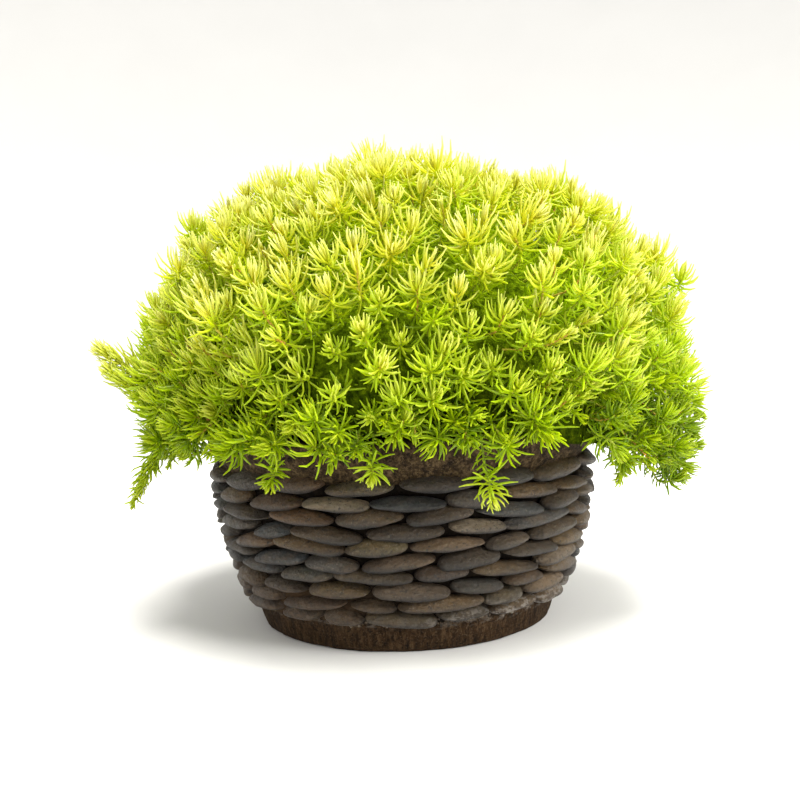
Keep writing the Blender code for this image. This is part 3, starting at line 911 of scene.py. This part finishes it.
def make_soil(tree, finish):
    """The solid soil keeps its shape, and crumbs lie on it."""
    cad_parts["potting_soil"].material_slots[0].material = finish
    draw = random.Random(SOIL_SEED)
    edge = RIM_RADIUS - RIM_WIDTH - SOIL_MARGIN
    places = [
        around(draw.uniform(0, tau), edge * sqrt(draw.random()), SOIL_TOP + MM) for _ in range(SOIL_CRUMBS)
    ]
    strew("soil_crumbs", places, tree, SOIL_CRUMB_SIZE, 8, finish, "soil")


# The form of the cushion


def skirt(turn):
    """How far the skirt hangs below level at a turn, and how tall an ellipse it curls in by."""
    hang, tuck = DROOP, TUCK
    for middle, spread, further, less in SPILLS:
        share = fading(remainder(turn - middle, tau) / spread)
        hang += further * share
        tuck += less * share
    return hang, tuck


def direction(rise, turn):
    return around(turn, cos(rise), sin(rise))


def swelling(way, bumps):
    """How far bumps of (turn, rise, spread, height) raise the cushion in a direction."""
    return sum(
        height * fading(way.angle(direction(rise, turn)) / spread) for turn, rise, spread, height in bumps
    )


def surface(rise, turn):
    """The point that the tips reach in a direction from the heart."""
    out, up = cos(rise) / CUSHION_RADIUS, abs(sin(rise))
    up /= CUSHION_RISE if rise > 0 else skirt(turn)[1]
    way = direction(rise, turn)
    reach = (out**CUSHION_POWER + up**CUSHION_POWER) ** (-1 / CUSHION_POWER)
    reach *= 1 + LEAN * way.x + LUMP * noise.noise(way * LUMP_PITCH)
    return HEART + way * (reach + swelling(way, MOUNDS))


def flow(share, turn, along):
    """A point on a stem, which is share of the way from the middle of the soil to its edge."""
    start = around(turn, ROOTED_RADIUS * share, STEM_START)
    bend = around(turn, BEND_RADIUS * share, BEND_TOP - BEND_FALL * share**1.5)
    end = surface(pi / 2 - (pi / 2 + skirt(turn)[0]) * share, turn)
    return bent(start, bend, end, along)


def bent(start, bend, end, along):
    """A point on the curve that goes from start towards bend and on to end."""
    back = 1 - along
    return start * back * back + bend * 2 * along * back + end * along * along


def clump_cells():
    return [
        Cell(f"{ring}_{k + 1:02d}", ring, inner, outer, tau * k / count, tau * (k + 1) / count)
        for ring, inner, outer, count in RINGS for k in range(count)
    ]


def within(cell, share, turn):
    return cell.first <= turn % tau < cell.last and cell.inner <= share < cell.outer


def shoot_places():
    """Shoots spread evenly over the cushion, a golden angle apart, as (share, turn)."""
    draw = random.Random(SHOOT_SEED)
    lowest_turn = SPILLS[0][0]
    lowest = -skirt(lowest_turn)[0]
    rises = [pi / 2 + (lowest - pi / 2) * k / AREA_STEPS for k in range(AREA_STEPS + 1)]
    area = [0.0]
    for low, high in zip(rises, rises[1:]):
        near, far = surface(low, lowest_turn), surface(high, lowest_turn)
        area.append(area[-1] + (near - far).length * hypot(*((near + far) / 2).xy))
    shift = SHOOT_SHIFT / CUSHION_RADIUS
    places = []
    for k in range(SHOOTS):
        rise = rises[bisect.bisect(area, area[-1] * (k + 0.5) / SHOOTS)]
        rise += draw.uniform(-shift, shift)
        turn = k * GOLDEN_ANGLE + draw.uniform(-shift, shift)
        share = (pi / 2 - rise) / (pi / 2 + skirt(turn)[0])
        if share < 1:
            places.append((share, turn))
    return places


# Shoots and needles


def hermite(start, leave, end, arrive, count):
    """Points on a smooth curve that leaves start and arrives at end along the given ways."""
    steps = [k / count for k in range(count + 1)]
    return [
        start * (2 * s**3 - 3 * s**2 + 1) + leave * (s**3 - 2 * s**2 + s)
        + end * (3 * s**2 - 2 * s**3) + arrive * (s**3 - s**2)
        for s in steps
    ]


def low_stem(share, turn):
    """The hidden stretch of a stem, then where it ends and its way there."""
    shown = flow(share, turn, HIDDEN_SHARE)
    leave = (shown - flow(share, turn, HIDDEN_SHARE - 0.05)).normalized()
    points = [flow(share, turn, HIDDEN_SHARE * k / LOW_STEPS) for k in range(LOW_STEPS)]
    return [points[0] - UP * ROOT_DEPTH, *points], shown, leave


def tone_at(tip, draw):
    """How yellow a shoot is: most at the top, least low on the right, partly its own colour and partly
    painted light and shade.
    """
    tone = min(0.42 + 4.6 * (tip.z - 0.19), 0.75 + 1.3 * (tip.z - 0.25)) + draw.gauss(0, 0.09)
    tone -= 0.9 * max(0.0, tip.x - 0.1) + 0.9 * max(0.0, -tip.x - 0.12)
    return clamped(tone, 0.08)


def short_shoot(share, turn, draw, hang=0.0):
    """A shoot that ends in the cushion's surface, or hangs a little lower."""
    end = flow(share, turn, 1)
    way = (end - flow(share, turn, 0.85)).normalized()
    out = end - HEART
    depth = SHOULDER_DEPTH * max(0.0, out.normalized().z) ** 2.5 + swelling(out, HOLLOWS)
    tip = end - way * (draw.uniform(*TIP_DEPTH) + depth) - UP * hang
    lift = sum(size * fading(remainder(turn - middle, tau) / spread) for middle, spread, size in LIFTED_HEMS)
    tip += UP * lift * max(0.0, (share - HEM_SHARE) / (1 - HEM_SHARE))
    droop = max(0.0, (share - HANGING_SHARE) / (1 - HANGING_SHARE))
    spray = draw.random() < SPRAYS
    upturn = draw.uniform(*UPTURN) * (1 - 0.7 * droop) * (SPRAY_UPTURN if spray else 1)
    tilt = TILT * (1 + LOW_TILT * droop)
    lean = Euler((draw.gauss(0, tilt), draw.gauss(0, tilt), 0)).to_matrix()
    axis = lean @ (way + UP * upturn).normalized()
    points, start, leave = low_stem(share, turn)
    below = tip - axis * STRAIGHT_END
    reach = (below - start).length
    points += hermite(start, leave * reach, below, axis * reach * 0.8, HIGH_STEPS) + [tip]
    vigour = draw.uniform(*VIGOUR)
    stretch = draw.uniform(*(SPRAY_STRETCH if spray else STRETCH))
    return Shoot(points, vigour, tone_at(tip, draw), stretch, draw.random())


def long_shoot(degrees, tone, vigour, route):
    turn = radians(degrees)
    first, bend, last = (around(turn, radius * MM, z * MM) for radius, z in route)
    points, start, leave = low_stem(TRAIL_ROOT, turn)
    points += hermite(start, leave * 0.05, first, (bend - first).normalized() * 0.04, HIGH_STEPS)[:-1]
    points += [bent(first, bend, last, k / TRAIL_STEPS) for k in range(TRAIL_STEPS + 1)]
    leafy = (bend - first).length + (last - bend).length
    return Shoot(points, vigour, tone, leafy * 1.1, 0.2)


def shoot_lines(name, shoots):
    """The middle lines of the shoots, with what each shoot is like on its points."""
    points, edges, traits, thickness, ripe = [], [], [], [], []
    for shoot in shoots:
        first, count = len(points), len(shoot.points)
        points += shoot.points
        edges += [(first + k, first + k + 1) for k in range(count - 1)]
        traits += [shoot.vigour, shoot.tone, shoot.stretch] * count
        for share in (k / (count - 1) for k in range(count)):
            thickness.append(between(share, *STEM_RADIUS))
            ripe.append(share * (0.32 + 0.68 * shoot.ripe**2))
    mesh = bpy.data.meshes.new(name)
    mesh.from_pydata(points, edges, [])
    mesh.attributes.new("traits", "FLOAT_VECTOR", "POINT").data.foreach_set("vector", traits)
    for label, values in (("thickness", thickness), ("ripe", ripe)):
        mesh.attributes.new(label, "FLOAT", "POINT").data.foreach_set("value", values)
    return show(name, mesh)


def needle_line(tree, points):
    """A line a unit long, whose points crowd towards its tip."""
    line = then(result(tree, "CurvePrimitiveLine"), "ResampleCurve", {"Count": points})
    even = Number(add(tree, "SplineParameter").outputs["Factor"])
    along = 1.0 - (1.0 - even) ** TIP_CROWDING
    return then(stored(line, "along", along), "SetPosition", {"Position": vector_of(0, 0, along)})


def curled(lines):
    """Bends each needle, by its own angle in all, along an arc of its own length."""
    tree = lines.id_data
    along = named(tree, "along")
    reach, side = named_vector(tree, "reach"), named_vector(tree, "side")
    angle = named(tree, "curl") * along
    square = angle * angle
    aside = angle * along * 0.5 * (1.0 - square / 12.0)
    back = square / -6.0 * along * (1.0 - square / 20.0)
    long = Number(add(tree, "VectorMath", {0: reach}, operation="LENGTH").outputs["Value"])
    offset = vectors("ADD", vectors("SCALE", side, aside), vectors("SCALE", reach, back))
    offset = vectors("ADD", offset, vector_of(0, 0, along * along * (long * LIFT_TO_LIGHT)))
    return then(lines, "SetPosition", {"Offset": offset})


def tube(lines, girth):
    """Lines thickened to three sides, which smooth shading rounds."""
    ring = result(lines.id_data, "CurvePrimitiveCircle", {"Resolution": 3})
    return then(lines, "CurveToMesh", {"Profile Curve": ring, "Fill Caps": True, "Scale": girth})


def needles_tree():
    """Sets the last stretch of each stem with needles, a golden angle apart.

    Needles stand out at the foot of the stretch and close in towards its tip. Each curls along its own
    length, towards its stem's axis and a little towards the light.
    """
    tree, given = new_tree("needles", (
        "Start", "Stretch", "Packing", "Length", "Width", "Foot lean", "Tip lean", "Curl", "Curl spread",
        "Rise low", "Rise high",
    ), ("Needles", "Points", "Seed"))
    stems = given("Geometry")
    count = add(tree, "AttributeDomainSize", {"Geometry": stems}, component="CURVE")
    total = Number(count.outputs["Spline Count"]) * given("Needles")
    index = Number(result(tree, "InputIndex"))
    shoot = calc("FLOOR", (index + 0.5) / given("Needles"))
    order = index - shoot * given("Needles")
    rise = (order + 0.5) / given("Needles")
    length = Number(then(stems, "SampleIndex", {
        "Value": add(tree, "SplineLength").outputs["Length"], "Index": shoot,
    }, data_type="FLOAT", domain="CURVE"))
    traits = add(tree, "SampleCurve", {
        "Curves": stems, "Value": named_vector(tree, "traits"), "Factor": 1.0, "Curve Index": shoot,
    }, data_type="FLOAT_VECTOR", use_all_curves=False)
    vigour, tone, stretch = parts_of(socket_of(traits.outputs, "Value"))
    back = (1.0 - rise) ** given("Packing") * (given("Stretch") * stretch) + given("Start") * stretch
    place = add(tree, "SampleCurve", {
        "Curves": stems, "Factor": 1.0 - back / length, "Curve Index": shoot,
    }, data_type="FLOAT", use_all_curves=False).outputs

    def luck(low, high, number):
        return drawn(tree, low, high, given("Seed") + number)

    lean = between(rise**1.6, given("Foot lean"), given("Tip lean")) + luck(-0.36, 0.36, 0)
    long = course(rise, (0, 0.8), (0.3, 1.0), (0.65, 0.84), (1, 0.38))
    long = long * vigour * given("Length") * luck(0.84, 1.12, 1)
    wide = given("Width") * luck(0.88, 1.12, 2) * 0.5 * between(rise, 1.0, 0.8)
    curl = course(rise, (0, -0.2), (0.12, 0.6), (0.3, 1.3), (0.6, 1.15), (0.85, 0.75), (1, 0.3))
    curl = curl * given("Curl") + luck(-1.0, 1.0, 3) * given("Curl spread")
    look = vector_of(tone, between(rise, given("Rise low"), given("Rise high")), luck(0.0, 1.0, 4))

    turned = result(tree, "AxesToRotation", {
        "Primary Axis": place["Tangent"], "Secondary Axis": place["Normal"],
    }, primary_axis="Z", secondary_axis="X")
    for axis, angle in (((0, 0, 1), order * GOLDEN_ANGLE + shoot * 1.7), ((0, 1, 0), lean)):
        by = result(tree, "AxisAngleToRotation", {"Axis": axis, "Angle": angle})
        inputs = {"Rotation": turned, "Rotate By": by}
        turned = result(tree, "RotateRotation", inputs, rotation_space="LOCAL")

    points = result(tree, "Points", {"Count": total, "Position": place["Position"]})
    for name, way in (("reach", (0, 0, 1)), ("side", (-1, 0, 0))):
        way = result(tree, "RotateVector", {"Vector": way, "Rotation": turned})
        points = stored(points, name, vectors("SCALE", way, long))
    for name, value in (("curl", curl), ("width", wide), ("leaf", look)):
        points = stored(points, name, value)
    lines = then(points, "InstanceOnPoints", {
        "Instance": needle_line(tree, given("Points")), "Rotation": turned,
        "Scale": vector_of(long, long, long),
    })
    lines = curled(then(lines, "RealizeInstances"))
    girth = course(named(tree, "along"), (0, 0.62), (0.3, 1.0), (0.6, 0.98), (0.85, 0.78), (1, 0.36))
    needles = tube(lines, girth * named(tree, "width"))
    return end_tree(without(needles, "reach", "side", "curl", "width"))


def shoots_tree(needles):
    """Stems with a rosette of long needles at the tip and shorter ones below."""
    shared = ("Length", "Width", "Foot lean", "Tip lean", "Packing", "Curl spread")
    counts = ("Rosette needles", "Stem needles", "Seed")
    tree, given = new_tree(
        "leafy_shoots", ("Rosette share", "Stem share", *shared), counts, ("Leaf finish", "Stem finish")
    )
    lines = then(given("Geometry"), "MeshToCurve")
    common = {label: given(label) for label in (*shared, "Seed")}
    rosettes = result(tree, "Group", {
        **common, "Geometry": lines, "Needles": given("Rosette needles"), "Start": 0.0,
        "Stretch": given("Rosette share"), "Curl": 1.0, "Rise low": 0.0, "Rise high": 1.0, "Points": 4,
    }, node_tree=needles)
    below = result(tree, "Group", {
        **common, "Geometry": lines, "Needles": given("Stem needles"), "Start": given("Rosette share"),
        "Stretch": given("Stem share"), "Packing": 1.0, "Length": given("Length") * 0.85,
        "Foot lean": radians(80), "Tip lean": radians(70), "Curl": 0.7, "Curl spread": 0.6,
        "Rise low": -0.35, "Rise high": 0.0, "Points": 3, "Seed": given("Seed") + 11,
    }, node_tree=needles)
    leaves = then(joined(rosettes, below), "SetMaterial", {"Material": given("Leaf finish")})
    stems = then(tube(lines, named(tree, "thickness")), "SetMaterial", {"Material": given("Stem finish")})
    both = then(then(joined(leaves, stems), "SetShadeSmooth"), "RealizeInstances")
    return end_tree(without(both, "traits", "thickness"))


def make_clumps(leaf, stem):
    """The leafy stems of each clump, and the long shoots that leave the skirt."""
    tree = shoots_tree(needles_tree())
    finishes = {"Leaf finish": leaf, "Stem finish": stem}
    places = shoot_places()
    draw = random.Random(SHOOT_SEED + 1)
    lowest = [(draw.uniform(0.9, 1), tau * (k + draw.random()) / SKIRT_SHOOTS) for k in range(SKIRT_SHOOTS)]
    for number, cell in enumerate(clump_cells()):
        short = [short_shoot(*place, draw) for place in places if within(cell, *place)]
        short += [
            short_shoot(*place, draw, draw.uniform(0.2, 1) * SKIRT_HANG)
            for place in lowest if within(cell, *place)
        ]
        hanging, trailing = (
            [long_shoot(*shoot) for shoot in shoots if within(cell, TRAIL_ROOT, radians(shoot[0]))]
            for shoots in (HANGING_SHOOTS, TRAILING_SHOOTS)
        )
        count = round(max((shoot.stretch for shoot in trailing), default=0) / TRAILING_PITCH)
        for kind, shoots, looks, seed in (
            ("leafy", short, SHORT_SHOOT, 100 + 20 * number),
            ("hanging", hanging, HANGING_SHOOT, 950 + number),
            ("trailing", trailing, {**TRAILING_SHOOT, "Rosette needles": count}, 900 + number),
        ):
            if shoots:
                piece = shoot_lines(f"{cell.name}_{kind}", shoots)
                grow(piece, tree, {**looks, **finishes, "Seed": seed})
                settle(piece, cell.ring, cell.name)


def make_tangle(finish):
    rows = [(k / TANGLE_ROWS, TANGLE_ALONG) for k in range(1, TANGLE_ROWS + 1)]
    rows += [(1.0, TANGLE_ALONG * (1 - k / TANGLE_SIDE_ROWS)) for k in range(1, TANGLE_SIDE_ROWS + 1)]
    hoops = [[flow(0, 0, TANGLE_ALONG)]]
    for share, along in rows:
        places = [flow(share, tau * k / TANGLE_STEPS, along) for k in range(TANGLE_STEPS)]
        hoops.append([p + (p - HEART).normalized() * (noise.noise(p * 60) * TANGLE_LUMP) for p in places])
    settle(hooped("shaded_tangle", hoops, finish, filled=(-1,)), "middle_stems")


# Floor, light and camera


def make_stage():
    profile = rounded((FLOOR_RADIUS, FLOOR_SWEEP), FLOOR_SWEEP, -pi / 2, -pi / 9, 20)
    hoops = [hoop(*point, FLOOR_STEPS) for point in profile]
    hooped("floor", hoops, floor_finish(), filled=(0,))
    world = bpy.data.worlds.new("room")
    world.use_nodes = True
    colour, strength = world.node_tree.nodes["Background"].inputs[:2]
    feed(colour, WORLD_COLOUR)
    feed(strength, WORLD_LIGHT)
    bpy.context.scene.world = world


def make_lights():
    for name, place, aim, size, watts, colour in LIGHTS:
        lamp = bpy.data.lights.new(name, "AREA")
        lamp.shape = "DISK"
        lamp.size = size
        lamp.energy = watts
        lamp.color = colour
        made = show(name, lamp)
        made.location = place
        made.rotation_euler = (Vector(place) - UP * aim).to_track_quat("Z", "Y").to_euler()


def make_camera():
    lens = bpy.data.cameras.new("camera")
    lens.lens = LENS_MM
    camera = show("camera", lens)
    camera.location = CAMERA_PLACE
    turned = Euler((pi / 2 - CAMERA_DOWN, 0, 0)).to_matrix() @ Euler((0, 0, CAMERA_ROLL)).to_matrix()
    camera.rotation_euler = turned.to_euler()
    bpy.context.scene.camera = camera


def main():
    make_bowl(cement_finish())
    make_mortar(mortar_finish())
    make_pebbles(pebble_finish())
    lumps = crumbs_tree()
    make_crumbs(lumps, crumb_finish())
    make_soil(lumps, soil_finish())
    make_clumps(leaf_finish(), stem_finish())
    make_tangle(tangle_finish())
    make_stage()
    make_lights()
    make_camera()
    bpy.context.scene.view_settings.view_transform = "Standard"


main()
